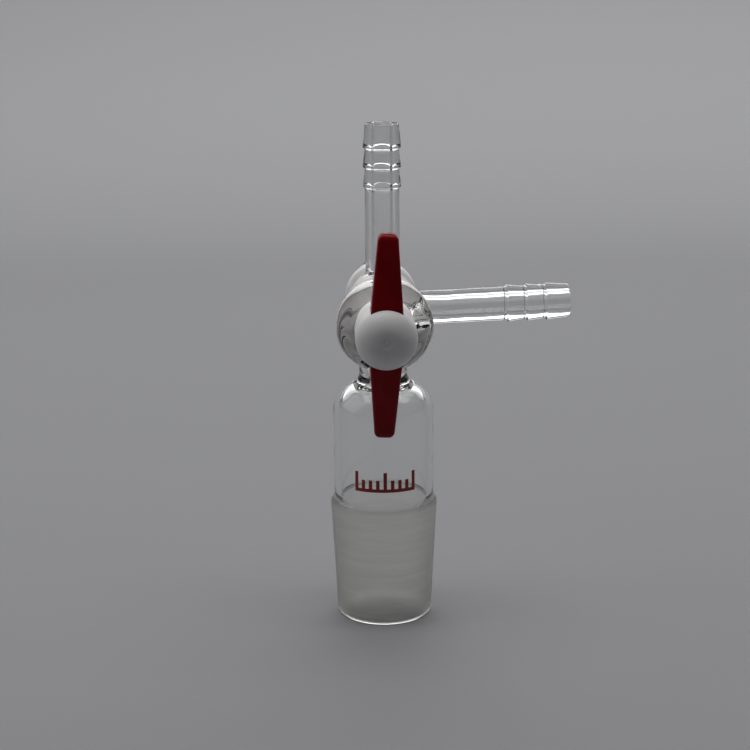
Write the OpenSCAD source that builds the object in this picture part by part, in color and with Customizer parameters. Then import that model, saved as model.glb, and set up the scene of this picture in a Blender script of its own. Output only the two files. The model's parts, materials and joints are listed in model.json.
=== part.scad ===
// Three-way glass stopcock adapter: a ground cone joint below, a turned plug across the middle,
// and two barbed hose arms. Millimetres, +Z up, origin at the centre of the cone's bottom rim.
// The plug lies along Y with its handle at -Y, and the side arm points to +X.

/* [Ground joint and tube] */
// Diameter of the ground cone at its small end
joint_small_d = 26; // [20:0.1:32]
// Diameter of the ground cone at its large end
joint_large_d = 29.2; // [28:0.1:36]
// Length of the ground cone
joint_len = 32; // [24:0.5:45]
// Outside diameter of the clear tube
tube_d = 27.4; // [24:0.1:28]
// Wall of the tube and of the cone's small end
wall = 1.9; // [1.2:0.1:3]
// Rounding of the fire-polished bottom rim
rim_round = 0.85; // [0.3:0.05:1.2]
// Length of the straight clear tube above the cone
tube_len = 26.4; // [15:0.5:60]
// Outside radius of the rounded shoulder
shoulder_round = 7.7; // [5:0.1:9]

/* [Neck] */
// Outside diameter of the neck below the barrel
neck_d = 13; // [9:0.1:16]
// Free length of the neck between shoulder and barrel
neck_len = 9.6; // [6:0.1:25]
// Inside diameter of the neck
neck_in_d = 8; // [5:0.1:8.2]
// Port from the neck into the barrel
port_d = 5; // [3:0.1:5]
// Radius of the neck's foot on the shoulder
neck_foot_round = 3.6; // [1:0.1:4.5]
// Flare radius where glass is fused to the barrel
fuse_round = 1.8; // [0.5:0.1:3]

/* [Barrel] */
// Outside diameter of the barrel's wide mouth
barrel_mouth_d = 25.4; // [22:0.1:32]
// Outside diameter of the barrel's narrow end
barrel_tail_d = 17.4; // [16:0.1:20]
// Length of the barrel
barrel_len = 34; // [28:0.5:44]
// Distance from the arms' plane to the barrel's wide mouth
mouth_reach = 19.5; // [16:0.5:22]
// Diameter of the tapered bore at the mouth
bore_mouth_d = 15.2; // [13:0.1:17]
// Length along the axis in which the bore narrows by one millimetre
bore_taper = 5; // [5:0.5:10]
// Rounding of the barrel's fire-polished ends
barrel_round = 1.4; // [0.5:0.1:2]

/* [Hose arms] */
// Reach of each hose arm from the barrel's axis
arm_reach = 50.3; // [40:0.1:80]
// Outside diameter of the plain arm
arm_d = 9.2; // [7:0.1:9.8]
// Bore of the hose arms
arm_bore_d = 4.6; // [2.5:0.1:6]
// Diameter over the barbs
barb_d = 10.2; // [10:0.1:12]
// Diameter at the foot of each barb and at the arm's end
barb_root_d = 9.1; // [7:0.1:9.2]
// Rounding of each barb's crest
barb_round = 0.2; // [0.1:0.05:0.3]
// Rounding of the arm's fire-polished end
arm_end_round = 0.5; // [0.2:0.05:1]
// Spacing of the barbs
barb_pitch = 5.2; // [4:0.1:8]
// Length of the first barb, from the arm's end to its crest
barb_lead = 6.2; // [4:0.1:8]
// Barbs on each arm
barb_count = 3; // [1:1:4]
// Upward slant of the side arm in degrees
side_arm_rise = 2.4; // [0:0.1:6]

/* [Plug] */
// Radial running gap between plug and bore
plug_gap = 0.04; // [0.01:0.01:0.1]
// Bore of the passages through the plug
passage_d = 4; // [2:0.1:4.5]
// Length of tapered plug that stands out of the mouth
plug_stand_out = 3.2; // [1:0.1:6]
// Diameter of the round head
head_d = 15.9; // [15.4:0.1:20]
// Length of the head
head_len = 15.4; // [13:0.1:18]
// Depth of the head's domed front
dome_depth = 4.8; // [0.5:0.1:6]
// Reach of the dome inwards from the head's side
dome_reach = 5.8; // [1:0.1:7]
// Distance by which the tapered plug stops short of the barrel's narrow end
plug_end_recess = 0.8; // [0.3:0.1:2]
// Lean of the plug and its handle as the part stands, in degrees
plug_lean = 1.4; // [0:0.1:90]
// Diameter of the threaded tail
tail_d = 7; // [5:0.1:7.4]
// Length of tail that stands out past the nut
tail_stand_out = 1.5; // [0.5:0.1:4]

/* [Handle] */
// Length of the handle bar
bar_len = 53.4; // [40:0.2:60]
// Width of the bar where it passes through the head
bar_hub_w = 8.1; // [6:0.1:9]
// Width of the bar at its tips
bar_tip_w = 5; // [3.5:0.1:6]
// Thickness of the bar where it passes through the head
bar_hub_t = 8.6; // [5.8:0.1:9]
// Thickness of the bar at its tips
bar_tip_t = 4; // [3:0.1:5.5]
// Rounding of the bar's tips
bar_round = 1.9; // [0.5:0.1:2.4]
// Distance from the head's front to the middle of the bar
bar_inset = 8; // [5:0.1:8.4]
// Gap around the bar in the head's slot
bar_gap = 0.1; // [0.05:0.01:0.2]

/* [Tail fittings] */
// Diameter of the washer
washer_d = 19.6; // [14:0.1:22]
// Thickness of the washer
washer_t = 4.4; // [1.5:0.1:6]
// Chamfer of the washer's edges
washer_edge = 0.5; // [0.1:0.1:0.7]
// Gap between the washer and the barrel's narrow end
washer_gap = 0.05; // [0.02:0.01:0.2]
// Cord thickness of the sealing ring
ring_t = 2.2; // [1.2:0.1:3]
// Diameter of the tension nut
nut_d = 17.2; // [13:0.1:20]
// Length of the tension nut
nut_len = 6.6; // [4:0.1:10]
// Chamfer of the nut's edges
nut_edge = 0.8; // [0.2:0.1:1.2]
// Finger grooves around the nut
nut_grooves = 14; // [8:1:24]
// Depth of the finger grooves
groove_depth = 0.5; // [0.2:0.1:0.8]
// Radius of the finger grooves
groove_r = 0.8; // [0.8:0.1:1.5]
// Gap between the tail and what slides on it
tail_gap = 0.08; // [0.05:0.01:0.1]

/* [Hidden] */
$fn = 96;
arc_steps = 10;
eps = 0.01;

// Glass heights and radii
joint_small_r = joint_small_d / 2;
joint_large_r = joint_large_d / 2;
tube_r = tube_d / 2;
tube_in_r = tube_r - wall;
joint_step = joint_large_r - tube_r;
step_top = joint_len + 2 * joint_step;
shoulder_z = joint_len + tube_len;
shoulder_top = shoulder_z + shoulder_round;
neck_r = neck_d / 2;
neck_in_r = neck_in_d / 2;
port_r = port_d / 2;
port_round = neck_in_r - port_r;
shoulder_in = tube_r - shoulder_round;
foot_run = neck_r + neck_foot_round - shoulder_in;
foot_rise = sqrt(pow(shoulder_round + neck_foot_round, 2) - pow(foot_run, 2));
foot_angle = atan2(foot_rise, foot_run);

// Barrel: radius outside and inside at a distance y along its axis
mouth_y = -mouth_reach;
tail_y = mouth_y + barrel_len;
function barrel_r(y) = (barrel_mouth_d + (barrel_tail_d - barrel_mouth_d) * (y - mouth_y) / barrel_len) / 2;
function bore_r(y) = (bore_mouth_d - (y - mouth_y) / bore_taper) / 2;
arm_plane_r = barrel_r(0);
barrel_z = shoulder_top + neck_len + arm_plane_r;
flare_rise = 2 * fuse_round;
port_z = barrel_z - arm_plane_r;

// Hose arms
arm_r = arm_d / 2;
barb_r = barb_d / 2;
root_r = barb_root_d / 2;
barb_fall = barb_r - root_r;

// Plug stations along the barrel's axis
collar_y = mouth_y - plug_stand_out;
head_y = collar_y - head_len;
head_r = head_d / 2;
plug_end_y = tail_y - plug_end_recess;
washer_y = tail_y + washer_gap;
ring_y = washer_y + washer_t;
nut_y = ring_y + ring_t;
tail_end_y = nut_y + nut_len + tail_stand_out;
tail_r = tail_d / 2;
tail_hole_r = tail_r + tail_gap;
bar_y = head_y + bar_inset;

// Points of an oval arc about a centre, from one angle to another, and of a round one
function oval(centre, rx, ry, from, to) =
    [for (i = [0 : arc_steps]) let (a = from + (to - from) * i / arc_steps)
        centre + [rx * cos(a), ry * sin(a)]];
function arc(centre, r, from, to) = oval(centre, r, r, from, to);

// Points of the flare by which a round stem of radius r grows out of the barrel, from its foot up
function flare(r) =
    [for (i = [0 : arc_steps]) let (a = 90 * i / arc_steps)
        [r + fuse_round * (1 - sin(a)), flare_foot(r) + flare_rise * (1 - cos(a))]];
function flare_foot(r) = sqrt(pow(arm_plane_r, 2) - pow(r + fuse_round, 2));

// Lays a shape drawn along +Z onto the barrel's axis, so that its z becomes y
module on_barrel_axis() {
    translate([0, 0, barrel_z]) rotate([-90, 0, 0]) children();
}

// Turns the plug's own pieces to its lean about the barrel's axis
module on_plug() {
    translate([0, 0, barrel_z]) rotate([0, plug_lean, 0]) children();
}

// Points an arm drawn along +Z out to the side
module on_side_arm() {
    translate([0, 0, barrel_z]) rotate([0, 90 - side_arm_rise, 0]) children();
}

// Outside of cone, tube, shoulder and neck, with the neck's foot and top flared
function vessel_outline() = concat(
    [[0, 0]],
    arc([joint_small_r - rim_round, rim_round], rim_round, -90, 0),
    arc([joint_large_r - joint_step, joint_len], joint_step, 0, 60),
    [[tube_r, step_top]],
    arc([shoulder_in, shoulder_z], shoulder_round, 0, foot_angle),
    arc([neck_r + neck_foot_round, shoulder_z + foot_rise], neck_foot_round, 180 + foot_angle, 180),
    [for (i = [arc_steps : -1 : 0]) [flare(neck_r)[i][0], barrel_z - flare(neck_r)[i][1]]],
    [[neck_r + fuse_round, barrel_z], [0, barrel_z]]);

// Inside of the same, ending in the port that leads to the plug
function vessel_hollow() = concat(
    [[0, -eps], [joint_small_r - wall + rim_round, -eps]],
    arc([joint_small_r - wall + rim_round, rim_round], rim_round, 270, 180),
    [[tube_in_r, joint_len]],
    arc([shoulder_in, shoulder_z], shoulder_round - wall, 0, 90),
    arc([neck_in_r + wall, shoulder_top], wall, 270, 180),
    arc([port_r, port_z - port_round], port_round, 0, 90),
    [[port_r, barrel_z], [0, barrel_z]]);

// One barb, numbered from the arm's end: a short rise from its foot to a rounded crest,
// from which the outline slopes down towards the end
function barb_outline(number) =
    let (crest = arm_reach - barb_lead - number * barb_pitch,
         foot_r = number == barb_count - 1 ? arm_r : root_r)
    concat([[foot_r, crest - barb_fall]],
           arc([barb_r - barb_round, crest], barb_round, -45, 15));

// Outside of a hose arm, from inside the barrel to its fire-polished end
function arm_outline() = concat(
    [[0, 0], [arm_r + fuse_round, 0]],
    flare(arm_r),
    [for (i = [barb_count - 1 : -1 : 0], p = barb_outline(i)) p],
    arc([root_r - arm_end_round, arm_reach - arm_end_round], arm_end_round, 0, 90),
    [[0, arm_reach]]);

// Outside of the barrel, drawn with its axis along z
function barrel_outline() = concat(
    [[0, mouth_y]],
    arc([barrel_r(mouth_y) - barrel_round, mouth_y + barrel_round], barrel_round, -90, 0),
    arc([barrel_r(tail_y) - barrel_round, tail_y - barrel_round], barrel_round, 0, 90),
    [[0, tail_y]]);

module glass_body() {
    color([0.85, 0.88, 0.86, 0.45])
    difference() {
        union() {
            rotate_extrude() polygon(vessel_outline());
            on_barrel_axis() rotate_extrude() polygon(barrel_outline());
            translate([0, 0, barrel_z]) rotate_extrude() polygon(arm_outline());
            on_side_arm() rotate_extrude() polygon(arm_outline());
        }
        rotate_extrude() polygon(vessel_hollow());
        on_barrel_axis() translate([0, 0, mouth_y - eps])
            cylinder(h = barrel_len + 2 * eps, r1 = bore_r(mouth_y - eps), r2 = bore_r(tail_y + eps));
        translate([0, 0, barrel_z]) cylinder(h = arm_reach + eps, d = arm_bore_d);
        on_side_arm() cylinder(h = arm_reach + eps, d = arm_bore_d);
    }
}

// Tapered plug with its head in front, its tail behind, drawn with its axis along z
function plug_outline() = concat(
    [[0, head_y]],
    oval([head_r - dome_reach, head_y + dome_depth], dome_reach, dome_depth, -90, 0),
    [[head_r, collar_y],
     [bore_r(collar_y) - plug_gap, collar_y],
     [bore_r(plug_end_y) - plug_gap, plug_end_y],
     [tail_r, plug_end_y],
     [tail_r, tail_end_y],
     [0, tail_end_y]]);

module plug() {
    color("white")
    on_plug()
    difference() {
        rotate([-90, 0, 0]) rotate_extrude() polygon(plug_outline());
        translate([0, 0, -arm_plane_r]) cylinder(h = 2 * arm_plane_r, d = passage_d);
        rotate([0, 90, 0]) cylinder(h = arm_plane_r, d = passage_d);
        translate([0, bar_y, 0])
            cube([bar_hub_w + 2 * bar_gap, bar_hub_t + 2 * bar_gap, 2 * head_d], center = true);
    }
}

// A bar's outline, straight in the head and tapered to rounded tips: one quarter, mirrored to all four
module bar_outline(hub, tip) {
    quarter = concat([[hub / 2, head_r]],
        arc([tip / 2 - bar_round, bar_len / 2 - bar_round], bar_round, 0, 90));
    last = len(quarter) - 1;
    polygon(concat(quarter,
        [for (i = [last : -1 : 0]) [-quarter[i][0], quarter[i][1]]],
        [for (p = quarter) [-p[0], -p[1]]],
        [for (i = [last : -1 : 0]) [quarter[i][0], -quarter[i][1]]]));
}

module handle() {
    color([0.55, 0.02, 0.04])
    on_plug() translate([0, bar_y, 0])
    intersection() {
        rotate([90, 0, 0])
            linear_extrude(height = 2 * bar_hub_t, center = true) bar_outline(bar_hub_w, bar_tip_w);
        rotate([90, 0, 90])
            linear_extrude(height = 2 * bar_hub_w, center = true) bar_outline(bar_hub_t, bar_tip_t);
    }
}

// A round piece on the tail with chamfered outer edges
module tail_collar(outside_r, thickness, edge) {
    rotate_extrude() polygon([
        [tail_hole_r, 0], [outside_r - edge, 0], [outside_r, edge],
        [outside_r, thickness - edge], [outside_r - edge, thickness], [tail_hole_r, thickness]]);
}

module washer() {
    color("whitesmoke")
    on_barrel_axis() translate([0, 0, washer_y]) tail_collar(washer_d / 2, washer_t, washer_edge);
}

module o_ring() {
    color([0.12, 0.12, 0.12])
    on_barrel_axis() translate([0, 0, ring_y + ring_t / 2])
        rotate_extrude() translate([tail_hole_r + ring_t / 2, 0]) circle(d = ring_t - tail_gap, $fn = 32);
}

module nut() {
    color([0.6, 0.03, 0.05])
    on_barrel_axis() translate([0, 0, nut_y])
    difference() {
        tail_collar(nut_d / 2, nut_len, nut_edge);
        for (i = [0 : nut_grooves - 1])
            rotate([0, 0, i * 360 / nut_grooves])
                translate([nut_d / 2 + groove_r - groove_depth, 0, -eps])
                    cylinder(h = nut_len + 2 * eps, r = groove_r, $fn = 32);
    }
}

glass_body();
plug();
handle();
washer();
o_ring();
nut();
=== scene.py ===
import json
import math

import bmesh
import bpy
import numpy as np
from mathutils import Matrix, Vector


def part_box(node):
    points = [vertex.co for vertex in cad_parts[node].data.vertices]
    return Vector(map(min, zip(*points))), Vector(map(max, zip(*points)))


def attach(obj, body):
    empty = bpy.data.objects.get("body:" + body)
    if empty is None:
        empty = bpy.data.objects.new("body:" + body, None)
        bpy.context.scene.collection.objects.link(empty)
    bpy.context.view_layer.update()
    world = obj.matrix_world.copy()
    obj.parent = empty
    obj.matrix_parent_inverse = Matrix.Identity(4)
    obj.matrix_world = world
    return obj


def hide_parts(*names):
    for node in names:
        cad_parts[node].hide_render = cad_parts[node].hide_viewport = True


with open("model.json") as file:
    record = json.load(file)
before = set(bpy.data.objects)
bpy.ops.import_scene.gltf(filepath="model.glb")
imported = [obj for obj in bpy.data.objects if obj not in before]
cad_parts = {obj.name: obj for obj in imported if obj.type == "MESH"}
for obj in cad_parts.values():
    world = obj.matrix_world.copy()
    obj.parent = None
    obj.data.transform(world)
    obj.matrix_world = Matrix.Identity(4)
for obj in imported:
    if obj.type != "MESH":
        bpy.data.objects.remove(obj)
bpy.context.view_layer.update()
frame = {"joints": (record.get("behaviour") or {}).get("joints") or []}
mm = 0.001
scene = bpy.context.scene
barrelZ = frame["joints"][0]["pos_m"][2] / mm   # height of the plug's axis
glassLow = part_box("glass_body")[0] / mm
plugLow, plugHigh = (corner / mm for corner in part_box("plug"))
washerLow, washerHigh = (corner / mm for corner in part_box("washer"))
ringLow, ringHigh = (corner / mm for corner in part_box("o_ring"))
nutLow, nutHigh = (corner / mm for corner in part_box("nut"))
print("frame loaded, plug axis at", round(barrelZ, 3), "mm")


# Points of an oval stretch about a centre, by angles in degrees
def ovalPoints(centre, radii, start, end, steps=12):
    angles = np.radians(np.linspace(start, end, steps + 1))
    return [(centre[0] + radii[0] * math.cos(a), centre[1] + radii[1] * math.sin(a)) for a in angles]


def arcPoints(centre, radius, start, end, steps=10):
    return ovalPoints(centre, (radius, radius), start, end, steps)


# Straight stretches of an outline cut into short steps, so that shading stays true beside the curves
def shortSteps(points, step):
    out = [points[0]]
    for p, q in zip(points, points[1:]):
        count = max(1, math.ceil(math.dist(p, q) / step))
        for i in range(1, count + 1):
            out.append((p[0] + (q[0] - p[0]) * i / count, p[1] + (q[1] - p[1]) * i / count))
    return out


# Faces between the rows of a grid of points
def gridFaces(rows, cols, closed):
    faces = []
    for i in range(rows - 1):
        for j in range(cols if closed else cols - 1):
            nextCol = (j + 1) % cols
            faces.append((i * cols + j, i * cols + nextCol, (i + 1) * cols + nextCol, (i + 1) * cols + j))
    return faces


meshWeld = {"touching": 2e-6, "sliver": 1e-6}   # metres


# One mesh object from sheets of points in millimetres; touching borders are welded
def meshFromSheets(name, sheets, sharpAngle=180.0, capRows=()):
    verts, faces = [], []
    for points, closed in sheets:
        rows, cols = points.shape[:2]
        base = len(verts)
        verts += [tuple(p * mm) for p in points.reshape(-1, 3)]
        faces += [tuple(base + i for i in f) for f in gridFaces(rows, cols, closed)]
        for row in capRows:
            faces.append(tuple(base + (row % rows) * cols + j for j in range(cols)))
    mesh = bpy.data.meshes.new(name)
    mesh.from_pydata(verts, [], faces)
    tidy = bmesh.new()
    tidy.from_mesh(mesh)
    bmesh.ops.remove_doubles(tidy, verts=tidy.verts, dist=meshWeld["touching"])
    bmesh.ops.dissolve_degenerate(tidy, edges=tidy.edges, dist=meshWeld["sliver"])
    bmesh.ops.recalc_face_normals(tidy, faces=tidy.faces)
    tidy.to_mesh(mesh)
    tidy.free()
    mesh.shade_smooth()
    if sharpAngle < 180.0:
        mesh.set_sharp_from_angle(angle=math.radians(sharpAngle))
    obj = bpy.data.objects.new(name, mesh)
    scene.collection.objects.link(obj)
    return obj


# Sheet turned about the plug's axis: outline points are (radius, y)
def turnedOnPlugAxis(outline, columns, radiusAt=None):
    angles = np.linspace(0, 2 * math.pi, columns, endpoint=False)
    rows = []
    for radius, y in outline:
        radii = np.full(columns, radius) if radiusAt is None else radiusAt(radius, y, angles)
        level = np.full(columns, y)
        rows.append(np.stack([radii * np.cos(angles), level, barrelZ + radii * np.sin(angles)], 1))
    return np.array(rows)


def finishPiece(obj, material, body, slotName, *nodes):
    obj.data.materials.clear()
    obj.data.materials.append(material)
    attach(obj, body)
    if nodes:
        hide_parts(*nodes)
    print("made", obj.name, len(obj.data.polygons), "faces")
    return obj


# Short helper for node trees
class NodeBench:
    def __init__(self, material):
        material.use_nodes = True
        self.tree = material.node_tree
        self.tree.nodes.clear()
        self.place = self.add("ShaderNodeTexCoord").outputs["Object"]

    def add(self, kind, **settings):
        node = self.tree.nodes.new(kind)
        for key, value in settings.items():
            setattr(node, key, value)
        return node

    def wire(self, source, target):
        self.tree.links.new(source, target)

    # a socket is wired, anything else is set as the value
    def feed(self, value, target):
        if isinstance(value, bpy.types.NodeSocket):
            self.wire(value, target)
        else:
            target.default_value = value

    def math(self, operation, *values):
        node = self.add("ShaderNodeMath", operation=operation)
        for value, socket in zip(values, node.inputs):
            self.feed(value, socket)
        return node.outputs[0]

    def ramp(self, value, low, high, outLow=0.0, outHigh=1.0):
        node = self.add("ShaderNodeMapRange", interpolation_type="SMOOTHSTEP")
        self.wire(value, node.inputs["Value"])
        for key, number in (("From Min", low), ("From Max", high), ("To Min", outLow), ("To Max", outHigh)):
            node.inputs[key].default_value = number
        return node.outputs["Result"]

    def noise(self, vector, scale, detail=2.0, roughness=0.5):
        node = self.add("ShaderNodeTexNoise")
        self.wire(vector, node.inputs["Vector"])
        node.inputs["Scale"].default_value = scale
        node.inputs["Detail"].default_value = detail
        node.inputs["Roughness"].default_value = roughness
        return node.outputs["Fac"]

    def stretched(self, vector, scale):
        node = self.add("ShaderNodeMapping")
        self.wire(vector, node.inputs["Vector"])
        node.inputs["Scale"].default_value = scale
        return node.outputs["Vector"]

    def bump(self, height, strength, distance, normal=None):
        node = self.add("ShaderNodeBump")
        self.wire(height, node.inputs["Height"])
        node.inputs["Strength"].default_value = strength
        node.inputs["Distance"].default_value = distance
        if normal is not None:
            self.wire(normal, node.inputs["Normal"])
        return node.outputs["Normal"]

    def colours(self, share, first, second):
        node = self.add("ShaderNodeMix", data_type="RGBA")
        self.wire(share, node.inputs["Factor"])
        self.feed(first, node.inputs["A"])
        self.feed(second, node.inputs["B"])
        return node.outputs["Result"]

    def finish(self, shader):
        self.wire(shader, self.add("ShaderNodeOutputMaterial").inputs["Surface"])


# Glass: clear all over, ground to a fine frost on the outside of the cone
glassFinish = {
    "tint": (0.988, 0.992, 0.983, 1.0),
    "groundTint": (0.90, 0.895, 0.855, 1.0),
    "groundDull": (0.76, 0.755, 0.71, 1.0),
    "index": 1.474,
    "frost": (0.3444, 0.4704),               # roughness of the finest and the coarsest bands
    "frostTurn": (0.25, 0.75), "tintTurn": (0.32, 0.68),
    "frostLow": 1.1 * mm, "frostHigh": 33.4 * mm, "frostFade": 0.5 * mm,
    "edgeGrain": 900.0,
    "bandStretch": (40.0, 40.0, 900.0), "bandNoise": (1.0, 4.0, 0.6),
    "grain": 5200.0, "grainShare": 0.6, "relief": (0.5, 0.08 * mm),
    "skinRadius": 11.55 * mm, "skinGrowth": 1 / 20,   # the cone's outside lies beyond this radius
    # how much light a shadow ray keeps: at the tube, at barrel and arms, at the ground cone
    "clearShadow": (0.22, 0.225, 0.22, 1.0),
    "upperShadow": (0.985, 0.985, 0.98, 1.0), "upperTurn": (66.0 * mm, 72.0 * mm),
    "groundShadow": (0.08, 0.08, 0.078, 1.0),
}


def makeGlass():
    f = glassFinish
    material = bpy.data.materials.new("clear glass, ground cone")
    bench = NodeBench(material)
    parts = bench.add("ShaderNodeSeparateXYZ")
    bench.wire(bench.place, parts.inputs[0])
    x, y, z = parts.outputs
    across = bench.math("SQRT", bench.math("ADD", bench.math("POWER", x, 2.0), bench.math("POWER", y, 2.0)))
    skin = bench.math("ADD", bench.math("MULTIPLY", z, f["skinGrowth"]), f["skinRadius"])
    outside = bench.math("GREATER_THAN", across, skin)
    ragged = bench.math("MULTIPLY", bench.noise(bench.place, f["edgeGrain"]), f["frostFade"])
    height = bench.math("ADD", z, ragged)
    above = bench.ramp(height, f["frostLow"], f["frostLow"] + f["frostFade"])
    below = bench.ramp(height, f["frostHigh"], f["frostHigh"] + f["frostFade"], 1.0, 0.0)
    ground = bench.math("MULTIPLY", outside, bench.math("MULTIPLY", above, below))
    # the grinding leaves fine level scratches and slightly uneven bands
    bands = bench.noise(bench.stretched(bench.place, f["bandStretch"]), *f["bandNoise"])
    grain = bench.math("MULTIPLY", bench.noise(bench.place, f["grain"]), f["grainShare"])
    frost = bench.ramp(bands, *f["frostTurn"], *f["frost"])
    relief = bench.math("MULTIPLY", bench.math("ADD", bands, grain), ground)
    banded = bench.colours(bench.ramp(bands, *f["tintTurn"]), f["groundDull"], f["groundTint"])
    shader = bench.add("ShaderNodeBsdfPrincipled")
    bench.wire(bench.colours(ground, f["tint"], banded), shader.inputs["Base Color"])
    shader.inputs["Transmission Weight"].default_value = 1.0
    shader.inputs["IOR"].default_value = f["index"]
    bench.wire(bench.math("MULTIPLY", frost, ground), shader.inputs["Roughness"])
    bench.wire(bench.bump(relief, *f["relief"]), shader.inputs["Normal"])
    clear = bench.add("ShaderNodeBsdfTransparent")
    through = bench.colours(bench.ramp(z, *f["upperTurn"]), f["clearShadow"], f["upperShadow"])
    bench.wire(bench.colours(ground, through, f["groundShadow"]), clear.inputs["Color"])
    mix = bench.add("ShaderNodeMixShader")
    bench.wire(bench.add("ShaderNodeLightPath").outputs["Is Shadow Ray"], mix.inputs["Fac"])
    bench.wire(shader.outputs["BSDF"], mix.inputs[1])
    bench.wire(clear.outputs["BSDF"], mix.inputs[2])
    bench.finish(mix.outputs["Shader"])
    return material


# Start of a solid finish: a clouded colour, and a roughness that follows the cloud or another pattern
def cloudedFinish(name, f, roughFrom=None):
    material = bpy.data.materials.new(name)
    bench = NodeBench(material)
    cloud = bench.noise(bench.place, *f["cloud"])
    bench.pattern = cloud if roughFrom is None else bench.noise(bench.place, roughFrom)
    shader = bench.add("ShaderNodeBsdfPrincipled")
    tone = bench.colours(bench.ramp(cloud, *f["colourTurn"]), *f["colours"])
    bench.wire(tone, shader.inputs["Base Color"])
    bench.wire(bench.ramp(bench.pattern, *f["roughTurn"], *f["roughness"]), shader.inputs["Roughness"])
    bench.finish(shader.outputs["BSDF"])
    return material, bench, shader


# Waxy white fluoropolymer, turned and faintly marked
whiteFinish = {
    "colours": ((0.90, 0.885, 0.885, 1.0), (0.84, 0.825, 0.825, 1.0)), "colourTurn": (0.35, 0.7),
    "cloud": (160.0, 3.0), "roughness": (0.36, 0.50), "roughTurn": (0.3, 0.7), "index": 1.36,
    "turning": (30.0, 2600.0, 30.0), "relief": (0.12, 0.03 * mm), "glow": (1.0, 0.9, 0.85),
    "plugDepth": 0.6 * mm, "plugShare": 0.35, "washerDepth": 5.0 * mm, "washerShare": 1.0,
}


def makeWhite(name, share, depth):
    f = whiteFinish
    material, bench, shader = cloudedFinish(name, f)
    shader.inputs["Subsurface Weight"].default_value = share
    shader.inputs["Subsurface Radius"].default_value = f["glow"]
    shader.inputs["Subsurface Scale"].default_value = depth
    shader.inputs["IOR"].default_value = f["index"]
    turning = bench.noise(bench.stretched(bench.place, f["turning"]), 1.0)
    bench.wire(bench.bump(turning, *f["relief"]), shader.inputs["Normal"])
    return material


# Dark red moulded plastic, glossy with a faint ripple
redFinish = {
    "colours": ((0.215, 0.002, 0.004, 1.0), (0.275, 0.003, 0.007, 1.0)), "colourTurn": (0.3, 0.7),
    "cloud": (120.0, 3.0), "roughness": (0.11, 0.23), "roughTurn": (0.3, 0.7),
    "index": 1.49, "specular": 0.16,
    "ripple": 420.0, "rippleRelief": (0.10, 0.12 * mm),
    "grain": (4200.0, 1.0), "grainRelief": (0.08, 0.02 * mm),
}


def makeRedPlastic():
    f = redFinish
    material, bench, shader = cloudedFinish("moulded red plastic", f, f["ripple"])
    shader.inputs["IOR"].default_value = f["index"]
    shader.inputs["Specular IOR Level"].default_value = f["specular"]
    fine = bench.bump(bench.noise(bench.place, *f["grain"]), *f["grainRelief"])
    bench.wire(bench.bump(bench.pattern, *f["rippleRelief"], fine), shader.inputs["Normal"])
    return material


# Matte black rubber of the sealing ring
rubberFinish = {
    "colours": ((0.018, 0.018, 0.019, 1.0), (0.045, 0.045, 0.047, 1.0)), "colourTurn": (0.4, 0.75),
    "cloud": (500.0, 4.0), "roughness": (0.54, 0.72), "roughTurn": (0.3, 0.8),
    "grain": 2600.0, "relief": (0.15, 0.03 * mm),
}


def makeRubber():
    f = rubberFinish
    material, bench, shader = cloudedFinish("black rubber", f)
    bench.wire(bench.bump(bench.noise(bench.place, f["grain"]), *f["relief"]), shader.inputs["Normal"])
    return material


# Fired red enamel of the scale on the tube
enamelFinish = {
    "colours": ((0.30, 0.014, 0.012, 1.0), (0.38, 0.035, 0.03, 1.0)), "colourTurn": (0.45, 0.8),
    "cloud": (1500.0, 3.0), "roughness": (0.32, 0.48), "roughTurn": (0.3, 0.8),
    "relief": (0.12, 0.02 * mm),
}


def makeEnamel():
    f = enamelFinish
    material, bench, shader = cloudedFinish("fired red enamel", f)
    bench.wire(bench.bump(bench.pattern, *f["relief"]), shader.inputs["Normal"])
    return material


glassMaterial = makeGlass()
plugMaterial = makeWhite("waxy white plug", whiteFinish["plugShare"], whiteFinish["plugDepth"])
washerMaterial = makeWhite("waxy white washer", whiteFinish["washerShare"], whiteFinish["washerDepth"])
redMaterial = makeRedPlastic()
rubberMaterial = makeRubber()
enamelMaterial = makeEnamel()
print("materials made")

# Glass body, in millimetres; the barrel lies along Y and the other parts grow out of it as stems
glassSize = {
    "coneFootR": 13.0, "coneTopR": 14.6, "coneTop": 32.0, "stepRise": 2.6, "stepRows": 12,
    "tubeR": 13.7, "wall": 1.9, "tubeTop": 58.4, "shoulderRound": 7.7, "shoulderTurn": 80.0,
    "rimRound": 0.85, "neckR": 6.5, "neckInR": 4.0, "neckTurn": 82.0, "portR": 2.5, "neckFootRound": 3.6,
    "mouthR": 12.7, "tailR": 8.7, "tailY": 14.5, "boreMouthR": 7.6, "boreFall": 0.1,
    "endRound": 1.4, "tailLip": 0.35, "mouthDome": (3.0, 1.3), "mouthLip": (1.8, 0.5),
    "armR": 4.6, "armBoreR": 2.3, "armReach": 50.3, "sideRise": 2.4, "armEndRound": 0.5, "armLip": 0.4,
    "barbR": 5.1, "barbRootR": 4.55, "barbPitch": 5.2, "barbLead": 6.2, "barbCount": 3, "barbRound": 0.2,
    "barbToe": ((0.0, -0.12), (0.05, 0.02)),  # softens a barb's foot: steps outwards and along
    "foot": 1.25, "footRise": 1.9,           # fused fillet on the barrel: reach outwards and up the stem
    "footRows": 10, "tangentStep": 0.02,
    "edge": 0.12,                            # soft edge where a bore meets the barrel's bore
    "cells": 24,                             # cells along each side of a patch on the barrel
    "patchEdges": (-141.0, -38.0, 41.0, 141.0, 219.0),   # degrees around the barrel
    "patchY": 8.2, "borePatchY": 4.0,        # half length of the patches outside and in the bore
    "patchRows": 7, "borePatchRows": 6,
    "stemStart": 13.2, "boreStart": 6.4,     # heights where a stem's level rows begin and end
    "stemRows": (0.35, 0.7),                 # shares of the way from the fillet to the level rows
    "step": 0.9,
}
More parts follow.
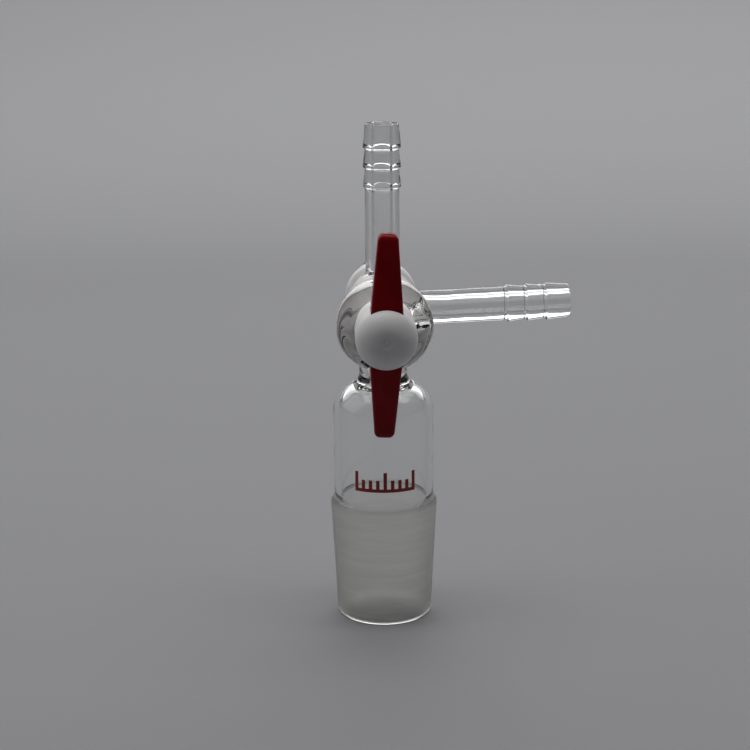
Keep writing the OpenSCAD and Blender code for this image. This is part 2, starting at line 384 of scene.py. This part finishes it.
g = glassSize
mouthY, tailY = glassLow.y, g["tailY"]
stemAngles = (-90.0, g["sideRise"], 90.0)   # neck, side arm, top arm
spread = np.tan(np.radians(np.linspace(-45, 45, g["cells"] + 1)))   # spacing that keeps a round hole even


def barrelR(y):
    return g["mouthR"] + (g["tailR"] - g["mouthR"]) * (y - mouthY) / (tailY - mouthY)


def boreR(y):
    return g["boreMouthR"] - g["boreFall"] * (y - mouthY)


def onBarrel(radius, theta, y):
    return np.stack([radius * np.cos(theta), y + 0 * theta, barrelZ + radius * np.sin(theta)], -1)


def patchThetas(index):
    low, high = np.radians(g["patchEdges"][index]), np.radians(g["patchEdges"][index + 1])
    return (low + high) / 2 + (high - low) / 2 * spread


# Border of a patch, once around, as angle about the barrel and place along it
def patchBorder(index, halfY):
    thetas, ys, n = patchThetas(index), halfY * spread, g["cells"]
    theta = np.concatenate([thetas[:n], np.full(n, thetas[n]), thetas[:0:-1], np.full(n, thetas[0])])
    y = np.concatenate([np.full(n, ys[0]), ys[:n], np.full(n, ys[n]), ys[:0:-1]])
    return theta, y


# Sheet of a stem: from its patch on the barrel, up the fillet, along its outline, and back down its bore
def stemSheet(index, stemR, holeR, outline):
    axis = np.radians(stemAngles[index])
    count = 4 * g["cells"]
    turn = np.radians(-135 + 360 * np.arange(count) / count)

    def place(along, y, height):
        out = np.array([np.cos(axis), 0, np.sin(axis)])
        side = np.array([-np.sin(axis), 0, np.cos(axis)])
        base = np.outer(height, out) + np.outer(along, side)
        base[:, 1] += y
        base[:, 2] += barrelZ
        return base

    def ring(radius, height):
        return place(radius * np.cos(turn), radius * np.sin(turn), height)

    # height of a ring of this radius that lies on the barrel or in its bore
    def ringHeight(radiusAt, radius):
        return np.sqrt(radiusAt(radius * np.sin(turn)) ** 2 - (radius * np.cos(turn)) ** 2)

    def patchRows(radiusAt, halfY, ringR, steps):
        theta, edgeY = patchBorder(index, halfY)
        edgeAlong = radiusAt(edgeY) * np.sin(theta - axis)
        ringAlong, ringY = ringR * np.cos(turn), ringR * np.sin(turn)
        made = []
        for t in np.linspace(0, 1, steps + 1):
            along, y = edgeAlong + (ringAlong - edgeAlong) * t, edgeY + (ringY - edgeY) * t
            made.append(place(along, y, np.sqrt(radiusAt(y) ** 2 - along ** 2)))
        return made

    rows = patchRows(barrelR, g["patchY"], stemR + g["foot"], g["patchRows"])
    # fillet: a curve that leaves the barrel along its surface and ends along the stem
    footH = ringHeight(barrelR, stemR + g["foot"])
    nearH = ringHeight(barrelR, stemR + (1 - g["tangentStep"]) * g["foot"])
    cornerH = footH + (nearH - footH) / g["tangentStep"]
    topH = cornerH + g["footRise"]
    for t in np.linspace(0, 1, g["footRows"] + 1)[1:]:
        start = (1 - t) ** 2
        rows.append(ring(start * (stemR + g["foot"]) + (1 - start) * stemR,
                         start * footH + 2 * t * (1 - t) * cornerH + t * t * topH))
    rows += [ring(stemR, topH + (g["stemStart"] - topH) * t) for t in g["stemRows"]]
    rows += [ring(r, np.full(count, h)) for r, h in outline]
    rows.append(ring(holeR, ringHeight(boreR, holeR) + g["edge"]))
    rows += patchRows(boreR, g["borePatchY"], holeR + g["edge"], g["borePatchRows"])[::-1]
    return np.array(rows)


# Outline of the vessel below the barrel, as (radius, depth below the plug's axis)
def vesselOutline():
    shoulderIn = g["tubeR"] - g["shoulderRound"]
    footX = g["neckR"] + g["neckFootRound"]
    run = footX - shoulderIn
    rise = math.sqrt((g["shoulderRound"] + g["neckFootRound"]) ** 2 - run ** 2)
    lean = math.degrees(math.atan2(rise, run))
    step = g["coneTopR"] - g["tubeR"]
    outer = [(g["neckR"], barrelZ - g["stemStart"])]
    outer += arcPoints((footX, g["tubeTop"] + rise), g["neckFootRound"], 180, 180 + lean, 8)
    outer += arcPoints((shoulderIn, g["tubeTop"]), g["shoulderRound"], lean, 0, 16)
    outer += [(g["tubeR"] + step * (3 * t * t - 2 * t ** 3), g["coneTop"] + g["stepRise"] * (1 - t))
              for t in np.linspace(0, 1, g["stepRows"] + 1)]
    rim = g["rimRound"]
    outer += arcPoints((g["coneFootR"] - rim, rim), rim, 0, -90, 8)
    inner = arcPoints((g["coneFootR"] - g["wall"] + rim, rim), rim, 270, 180, 8)
    inner += [(g["tubeR"] - g["wall"], g["coneTop"])]
    inner += arcPoints((shoulderIn, g["tubeTop"]), g["shoulderRound"] - g["wall"], 0, g["shoulderTurn"], 14)
    neckFoot = (g["neckInR"] + g["wall"], g["tubeTop"] + g["shoulderRound"])
    inner += arcPoints(neckFoot, g["wall"], 180 + g["neckTurn"], 180, 8)
    port = g["neckInR"] - g["portR"]
    inner += arcPoints((g["portR"], barrelZ - barrelR(0) - port), port, 0, 90, 8)
    inner += [(g["portR"], barrelZ - g["boreStart"])]
    return [(r, barrelZ - z) for r, z in shortSteps(outer + inner, g["step"])]


# Outline of a hose arm, as (radius, height above the plug's axis)
def armOutline():
    fall = g["barbR"] - g["barbRootR"]
    crests = [g["armReach"] - g["barbLead"] - i * g["barbPitch"] for i in range(g["barbCount"])][::-1]
    outer = [(g["armR"], g["stemStart"])]
    for number, crest in enumerate(crests):
        root = g["armR"] if number == 0 else g["barbRootR"]
        outer += [(root + out, crest - fall + along) for out, along in g["barbToe"]]
        outer += arcPoints((g["barbR"] - g["barbRound"], crest), g["barbRound"], -45, 15, 5)
    end, lip = g["armEndRound"], g["armLip"]
    outer += arcPoints((g["barbRootR"] - end, g["armReach"] - end), end, 0, 90, 8)
    inner = arcPoints((g["armBoreR"] + lip, g["armReach"] - lip), lip, 90, 180, 5)
    inner += [(g["armBoreR"], g["boreStart"])]
    return shortSteps(outer + inner, g["step"])


# Barrel beyond the patches: from outside, round an end, and back along the bore
def barrelEnd(side):
    outer = [(barrelR(side * g["patchY"]), side * g["patchY"])]
    if side < 0:
        dome, lip = g["mouthDome"], g["mouthLip"]
        outer += ovalPoints((barrelR(mouthY) - dome[0], mouthY + dome[1]), dome, 0, -90)
        inner = ovalPoints((boreR(mouthY) + lip[0], mouthY + lip[1]), lip, -90, -180)
    else:
        corner, lip = g["endRound"], g["tailLip"]
        outer += arcPoints((barrelR(tailY) - corner, tailY - corner), corner, 0, 90, 8)
        inner = arcPoints((boreR(tailY) + lip, tailY - lip), lip, 90, 180, 5)
    inner += [(boreR(side * g["borePatchY"]), side * g["borePatchY"])]
    thetas = np.concatenate([patchThetas(i)[:-1] for i in range(4)])
    return np.array([onBarrel(r, thetas, y) for r, y in shortSteps(outer + inner, g["step"])])


# Patch without a stem, on the far side
def plainPatch(radiusAt, halfY):
    thetas = patchThetas(3)
    return np.array([onBarrel(radiusAt(y), thetas, y) for y in halfY * spread])


# Hand-worked glass is never quite even: a slow waver, strongest where the arms were fused on
waver = {"amount": 0.07, "fusedShare": 0.75, "fusedR": 11.5, "fusedWidth": 5.0, "wholeFrom": 30.0,
         "quietR": 9.0, "quietFade": 2.0,
         "waves": ((0.0, 0.71, 0.53), (-0.59, 0.0, 0.67), (0.61, 0.77, 0.0))}   # radians per mm


def waverGlass(obj):
    w = waver
    for vertex in obj.data.vertices:
        p = np.array(vertex.co) / mm
        fromAxis = math.hypot(p[0], p[2] - barrelZ)
        if fromAxis < w["quietR"]:
            continue
        fused = math.exp(-((fromAxis - w["fusedR"]) / w["fusedWidth"]) ** 2)
        whole = min(1.0, max(0.0, p[2] / w["wholeFrom"] - 1.0))
        amount = w["amount"] * ((1 - w["fusedShare"]) * whole + w["fusedShare"] * fused)
        amount *= min(1.0, (fromAxis - w["quietR"]) / w["quietFade"])
        vertex.co += Vector(np.sin(np.array(w["waves"]) @ p)) * amount * mm


def makeGlassBody():
    sheets = [
        (stemSheet(0, g["neckR"], g["portR"], vesselOutline()), True),
        (stemSheet(1, g["armR"], g["armBoreR"], armOutline()), True),
        (stemSheet(2, g["armR"], g["armBoreR"], armOutline()), True),
        (barrelEnd(-1), True), (barrelEnd(1), True),
        (plainPatch(barrelR, g["patchY"]), False), (plainPatch(boreR, g["borePatchY"]), False),
    ]
    obj = meshFromSheets("glassBody", sheets)
    waverGlass(obj)
    return finishPiece(obj, glassMaterial, "glass", "glass", "glass_body")


makeGlassBody()

# Plug: head, tapered body with its passages, and threaded tail
plugSize = {"gap": -0.02, "headR": 7.95, "domeDepth": 4.8, "domeReach": 5.8, "collarY": -22.7, "endY": 13.7,
            "edge": 0.3, "axisR": 0.05, "endFlatR": 1.5, "columns": 128, "step": 0.8,
            "tailR": 3.5, "tailStart": 0.05, "threadStart": 0.3, "pitch": 1.0, "threadDepth": 0.42,
            "threadRow": 0.1, "threadFlank": (1.25, 4.5), "threadFadeIn": 0.5, "threadFadeOut": (0.4, 0.15),
            "passageR": 2.0, "passageColumns": 64, "slotW": 8.3, "slotT": 8.8, "barPlane": -30.1,
            "lean": 1.4, "sharpAngle": 32,
            "centreMark": ((0.3, 0.0), (0.5, 0.10), (0.75, 0.14), (1.0, 0.10), (1.3, 0.0))}
onPlugAxis = Matrix.Translation((0, 0, barrelZ * mm))
leanTurn = onPlugAxis @ Matrix.Rotation(math.radians(plugSize["lean"]), 4, "Y") @ onPlugAxis.inverted()


# Radius around the tail, with a helical groove that fades at both ends
def threaded(radius, y, angles):
    p = plugSize
    start = p["endY"] + p["threadStart"]
    if y <= start or radius <= p["endFlatR"]:
        return np.full(len(angles), radius)
    phase = (y / p["pitch"] + angles / (2 * math.pi)) % 1.0
    top, slope = p["threadFlank"]
    groove = np.clip(top - np.abs(phase - 0.5) * slope, 0, 1)
    run, rest = p["threadFadeOut"]
    fade = min(1.0, (y - start) / p["threadFadeIn"], (plugHigh.y - y) / run + rest)
    return radius - p["threadDepth"] * groove * max(0.0, fade)


def cutAway(obj, cutter):
    modifier = obj.modifiers.new("cut", "BOOLEAN")
    modifier.operation = "DIFFERENCE"
    modifier.solver = "EXACT"
    modifier.object = cutter
    bpy.context.view_layer.update()
    cut = bpy.data.meshes.new_from_object(obj.evaluated_get(bpy.context.evaluated_depsgraph_get()))
    obj.modifiers.clear()
    old = obj.data
    obj.data = cut
    bpy.data.meshes.remove(old)
    bpy.data.objects.remove(cutter)


def roundBar(name, radius, start, end):
    start, end = Vector(start), Vector(end)
    turn = (end - start).to_track_quat("Z", "Y")
    angles = np.linspace(0, 2 * math.pi, plugSize["passageColumns"], endpoint=False)
    rows = [[start + turn @ Vector((radius * math.cos(a), radius * math.sin(a), h)) for a in angles]
            for h in (0.0, (end - start).length)]
    return meshFromSheets(name, [(np.array(rows), True)], capRows=(0, -1))


def plugOutline():
    p = plugSize
    head, end, edge = plugLow.y, plugHigh.y, p["edge"]
    outline = [(p["axisR"], head)] + [(r, head + deep) for r, deep in p["centreMark"]]
    outline += ovalPoints((p["headR"] - p["domeReach"], head + p["domeDepth"]),
                          (p["domeReach"], p["domeDepth"]), -90, 0, 24)
    outline += arcPoints((p["headR"] - edge, p["collarY"] - edge), edge, 0, 90, 4)
    outline += [(boreR(y) - p["gap"], y) for y in (p["collarY"], p["endY"])]
    outline += [(p["tailR"], p["endY"] + p["tailStart"])]
    outline = shortSteps(outline, p["step"])
    firstRow = p["endY"] + p["tailStart"] + p["threadRow"]
    outline += [(p["tailR"], y) for y in np.arange(firstRow, end - edge, p["threadRow"])]
    outline += arcPoints((p["tailR"] - edge, end - edge), edge, 0, 90, 4)
    return outline + [(p["endFlatR"], end), (p["axisR"], end)]


def makePlug():
    p = plugSize
    sheet = turnedOnPlugAxis(plugOutline(), p["columns"], threaded)
    obj = meshFromSheets("plug_white", [(sheet, True)], capRows=(0, -1))
    reach = 2 * p["headR"]
    box = np.array([[[sx * p["slotW"] / 2, p["barPlane"] + sy * p["slotT"] / 2, barrelZ + z]
                     for sx, sy in ((-1, -1), (1, -1), (1, 1), (-1, 1))] for z in (-reach, reach)])
    cutAway(obj, meshFromSheets("slotCutter", [(box, True)], capRows=(0, -1)))
    cutAway(obj, roundBar("passageCutter", p["passageR"], (0, 0, barrelZ - reach), (0, 0, barrelZ + reach)))
    cutAway(obj, roundBar("branchCutter", p["passageR"], (0, 0, barrelZ), (reach, 0, barrelZ)))
    obj.data.shade_smooth()
    obj.data.set_sharp_from_angle(angle=math.radians(p["sharpAngle"]))
    obj.data.transform(leanTurn)
    return finishPiece(obj, plugMaterial, "plug", "white_plug", "plug")


makePlug()

# Handle bar: a moulded bar that is thickest in the head and tapers to rounded tips
barSize = {"hubW": 8.1, "tipW": 5.0, "hubT": 8.6, "tipT": 4.0, "hubHalf": 7.95, "length": 53.4,
           "tipRound": 1.9, "tipCore": 0.15, "corner": 0.85, "cornerFall": 0.4, "cornerLeast": 0.12,
           "cornerRoom": 0.02, "hubRows": 7, "armRows": 26, "tipRows": 10, "sharpAngle": 60}


def barSection(width, thick, corner, z):
    points = []
    for sx, sy, start in ((1, 1, 0), (-1, 1, 90), (-1, -1, 180), (1, -1, 270)):
        centre = (sx * (width / 2 - corner), sy * (thick / 2 - corner))
        points += arcPoints(centre, corner, start, start + 90, 8)
    return np.array([(x, plugSize["barPlane"] + y, z) for x, y in points])


def makeHandle():
    b = barSize
    half = b["length"] / 2
    tipStart = half - b["tipRound"]
    heights = list(np.linspace(0, b["hubHalf"], b["hubRows"]))
    heights += list(np.linspace(b["hubHalf"], tipStart, b["armRows"]))[1:]
    sections = []
    for z in heights:
        t = max(0.0, (z - b["hubHalf"]) / (half - b["hubHalf"]))
        width, thick = b["hubW"] + (b["tipW"] - b["hubW"]) * t, b["hubT"] + (b["tipT"] - b["hubT"]) * t
        sections.append((width, thick, b["corner"], z))
    lastW, lastT = sections[-1][:2]
    tip = min(b["tipRound"], lastT / 2 - b["tipCore"])
    for a in np.radians(np.linspace(0, 90, b["tipRows"]))[1:]:
        inset = tip * (1 - math.cos(a))
        corner = max(b["cornerLeast"], b["corner"] - inset * b["cornerFall"])
        z = tipStart + b["tipRound"] * math.sin(a)
        sections.append((lastW - 2 * inset, lastT - 2 * inset, corner, z))
    both = [(w, t, c, -z) for w, t, c, z in sections[:0:-1]] + sections
    rows = np.array([barSection(w, t, min(c, t / 2 - b["cornerRoom"]), barrelZ + z) for w, t, c, z in both])
    obj = meshFromSheets("handle_bar", [(rows, True)], sharpAngle=b["sharpAngle"], capRows=(0, -1))
    obj.data.transform(leanTurn)
    return finishPiece(obj, redMaterial, "plug", "red_plastic", "handle")


makeHandle()

# Washer, sealing ring and tension nut on the tail
fitSize = {"hole": 3.58, "holeEdge": 0.25, "edge": 0.5, "columns": 128, "step": 0.6, "nutEdge": 0.8,
           "grooves": 14, "grooveDepth": 0.5, "grooveReach": 1.2, "grooveColumns": 16}
nutR = (nutHigh.z - nutLow.z) / 2


def ringOutline(outside, start, end, edge):
    hole, soft = fitSize["hole"], fitSize["holeEdge"]
    points = arcPoints((hole + soft, start + soft), soft, 180, 270, 4)
    points += arcPoints((outside - edge, start + edge), edge, -90, 0, 7)
    points += arcPoints((outside - edge, end - edge), edge, 0, 90, 7)
    points += arcPoints((hole + soft, end - soft), soft, 90, 180, 4)
    return shortSteps(points + points[:1], fitSize["step"])


def makeWasher():
    outline = ringOutline(washerHigh.x, washerLow.y, washerHigh.y, fitSize["edge"])
    obj = meshFromSheets("washer_white", [(turnedOnPlugAxis(outline, fitSize["columns"]), True)])
    return finishPiece(obj, washerMaterial, "plug", "white_plug", "washer")


def makeRing():
    thick = ringHigh.y - ringLow.y
    outline = arcPoints((ringHigh.x - thick / 2, (ringLow.y + ringHigh.y) / 2), thick / 2, 0, 360, 32)
    obj = meshFromSheets("seal_ring", [(turnedOnPlugAxis(outline, fitSize["columns"]), True)])
    return finishPiece(obj, rubberMaterial, "plug", "black_rubber", "o_ring")


# Radius around the nut, with grip grooves that run out towards its ends
def grooved(radius, y, angles):
    share = np.clip((radius - nutR + fitSize["grooveReach"]) / fitSize["grooveReach"], 0, 1)
    wave = np.clip(np.cos(angles * fitSize["grooves"]), 0, 1) ** 2
    return radius - fitSize["grooveDepth"] * wave * share


def makeNut():
    outline = ringOutline(nutR, nutLow.y, nutHigh.y, fitSize["nutEdge"])
    columns = fitSize["grooves"] * fitSize["grooveColumns"]
    obj = meshFromSheets("tension_nut", [(turnedOnPlugAxis(outline, columns, grooved), True)])
    return finishPiece(obj, redMaterial, "nut", "red_plastic", "nut")


makeWasher()
makeRing()
makeNut()

# Enamel scale on the front of the tube: plain ticks above a base line
scaleSize = {"centreZ": 41.5, "width": 17.0, "ticks": 9, "tallEvery": 4, "tall": 5.6, "short": 3.4,
             "line": 0.95, "lift": 0.02, "thick": 0.05, "seam": 0.01, "step": 0.3, "sharpAngle": 40}


def enamelPatch(leftX, rightX, lowZ, highZ):
    s, r = scaleSize, g["tubeR"]
    angles = np.linspace(leftX / r, rightX / r, max(2, math.ceil((rightX - leftX) / s["step"]) + 1))
    back = r + s["lift"]
    face = back + s["thick"]
    rows = [[(radius * math.sin(a), -radius * math.cos(a), z) for a in angles]
            for radius, z in ((back, lowZ), (face, lowZ), (face, highZ), (back, highZ), (back, lowZ))]
    return np.array(rows)


def makeScale():
    s = scaleSize
    half, line = s["width"] / 2, s["line"]
    low = s["centreZ"] - s["tall"] / 2
    sheets = [(enamelPatch(-half, half, low, low + line), False)]
    for i in range(s["ticks"]):
        x = -half + line / 2 + (s["width"] - line) * i / (s["ticks"] - 1)
        height = s["tall"] if i % s["tallEvery"] == 0 else s["short"]
        patch = enamelPatch(x - line / 2, x + line / 2, low + line + s["seam"], low + height)
        sheets.append((patch, False))
    obj = meshFromSheets("enamel_scale", sheets, sharpAngle=s["sharpAngle"])
    return finishPiece(obj, enamelMaterial, "glass", "red_plastic")


makeScale()

# Pale sweep, in metres: floor, curve and wall in one sheet. The floor just in front of the object is painted
# dark as painted shade; the far front floor and the wall are painted paler as painted light
sweepSize = {"halfWidth": 4.0, "front": -4.0, "bend": 0.55, "bendR": 0.6, "bendRows": 30, "height": 2.0}
sweepFinish = {
    # the darkest tone, on the floor just in front of the object, is painted shade; the far front floor
    # beyond it and the wall are painted paler, as painted light against the lamps' falloff
    "outer": (0.75, 0.75, 0.77, 1.0), "paintedShade": (0.13, 0.13, 0.136, 1.0), "near": (0.325, 0.325, 0.339, 1.0),
    "far": (0.325, 0.326, 0.341, 1.0), "wall": (0.66, 0.66, 0.68, 1.0),
    # where one tone turns into the next, from front to back
    "paintedShadeFrom": (-3.0, -0.7), "nearFrom": (-0.30, -0.10), "farFrom": (0.0, 0.3), "wallFrom": (0.42, 1.0),
    "roughness": 0.7, "specular": 0.25,
}


def makeSweepPaint():
    f = sweepFinish
    material = bpy.data.materials.new("pale sweep")
    bench = NodeBench(material)
    parts = bench.add("ShaderNodeSeparateXYZ")
    bench.wire(bench.place, parts.inputs[0])
    # tones from front to back: far front floor painted paler (painted light), floor in front of the object
    # painted dark (painted shade), near and far floor, wall painted paler (painted light)
    tone = f["outer"]
    for paint in ("paintedShade", "near", "far", "wall"):
        tone = bench.colours(bench.ramp(parts.outputs["Y"], *f[paint + "From"]), tone, f[paint])
    shader = bench.add("ShaderNodeBsdfPrincipled")
    bench.wire(tone, shader.inputs["Base Color"])
    shader.inputs["Roughness"].default_value = f["roughness"]
    shader.inputs["Specular IOR Level"].default_value = f["specular"]
    bench.finish(shader.outputs["BSDF"])
    return material


def makeSweep():
    s = sweepSize
    path = [(s["front"], 0.0), (s["bend"], 0.0)]
    path += [(s["bend"] + s["bendR"] * math.sin(a), s["bendR"] * (1 - math.cos(a)))
             for a in np.radians(np.linspace(3, 90, s["bendRows"]))]
    path += [(s["bend"] + s["bendR"], s["height"])]
    sides = (-s["halfWidth"], s["halfWidth"])
    rows = np.array([[(x / mm, y / mm, z / mm) for x in sides] for y, z in path])
    obj = meshFromSheets("sweep", [(rows, False)])
    # floor faces up, wall faces the front
    for polygon in obj.data.polygons:
        if polygon.normal.z - polygon.normal.y < 0:
            polygon.flip()
    obj.data.materials.append(makeSweepPaint())


makeSweep()

# Soft studio light: wide lamps over the object and over the wall, one behind it and a weaker one to the left
lamps = {
    "overhead": {"at": (0.22, -0.02, 1.25), "aim": (0.22, -0.0199, 0.0), "size": (1.9, 0.4),
                 "watts": 4.2, "spread": 130},
    "backdrop": {"at": (0.28, 0.85, 1.25), "aim": (0.28, 0.8501, 0.0), "size": (1.6, 0.5),
                 "watts": 2.0, "spread": 130},
    "left": {"at": (-0.80, 0.08, 0.55), "aim": (0.0, 0.0, 0.05), "size": (0.9, 0.9),
             "watts": 0.9, "spread": 130},
    "back": {"at": (0.0, 1.0, 0.56), "aim": (0.0, 0.0, 0.08), "size": (2.4, 0.45),
             "watts": 3.1, "spread": 120},
}
worldTone = (0.05, 0.051, 0.053, 1.0)


def makeLamps():
    for name, lamp in lamps.items():
        data = bpy.data.lights.new(name, "AREA")
        data.shape = "RECTANGLE"
        data.size, data.size_y = lamp["size"]
        data.energy = lamp["watts"]
        data.spread = math.radians(lamp["spread"])
        obj = bpy.data.objects.new(name, data)
        obj.location = lamp["at"]
        obj.rotation_euler = (Vector(lamp["aim"]) - Vector(lamp["at"])).to_track_quat("-Z", "Y").to_euler()
        scene.collection.objects.link(obj)
    world = bpy.data.worlds.new("studio")
    world.use_nodes = True
    background = world.node_tree.nodes["Background"]
    background.inputs["Color"].default_value = worldTone
    background.inputs["Strength"].default_value = 1.0
    scene.world = world


makeLamps()

# Camera at the photograph's angle; target is the point that falls on targetPixel
cameraSet = {"lens": 88.8, "sensor": 36.0, "pixels": 750, "clip": (0.01, 20.0),
             "target": (0.0, 0.0, 0.075), "targetPixel": (383.19, 349.65),
             "distance": 0.50177, "elevation": 14.304, "azimuth": -1.58, "roll": -0.357}


def makeCamera():
    c = cameraSet
    azimuth, elevation, roll = (math.radians(c[k]) for k in ("azimuth", "elevation", "roll"))
    level = math.cos(elevation)
    back = Vector((math.sin(azimuth) * level, -math.cos(azimuth) * level, math.sin(elevation)))
    right = Vector((math.cos(azimuth), math.sin(azimuth), 0.0))
    up = back.cross(right)
    focal, middle = c["lens"] / c["sensor"] * c["pixels"], c["pixels"] / 2
    pan = math.atan((c["targetPixel"][0] - middle) / focal)
    tilt = math.atan((middle - c["targetPixel"][1]) / focal)
    look = -back * math.cos(pan) - right * math.sin(pan)
    right = right * math.cos(pan) - back * math.sin(pan)
    look, up = look * math.cos(tilt) - up * math.sin(tilt), up * math.cos(tilt) + look * math.sin(tilt)
    right, up = right * math.cos(roll) + up * math.sin(roll), up * math.cos(roll) - right * math.sin(roll)
    turned = Matrix((right, up, -look)).transposed().to_4x4()
    turned.translation = Vector(c["target"]) + back * c["distance"]
    data = bpy.data.cameras.new("camera")
    data.lens, data.sensor_width = c["lens"], c["sensor"]
    data.clip_start, data.clip_end = c["clip"]
    obj = bpy.data.objects.new("camera", data)
    obj.matrix_world = turned
    scene.collection.objects.link(obj)
    scene.camera = obj


makeCamera()
scene.view_settings.view_transform = "Standard"
print("stage, lamps and camera set")
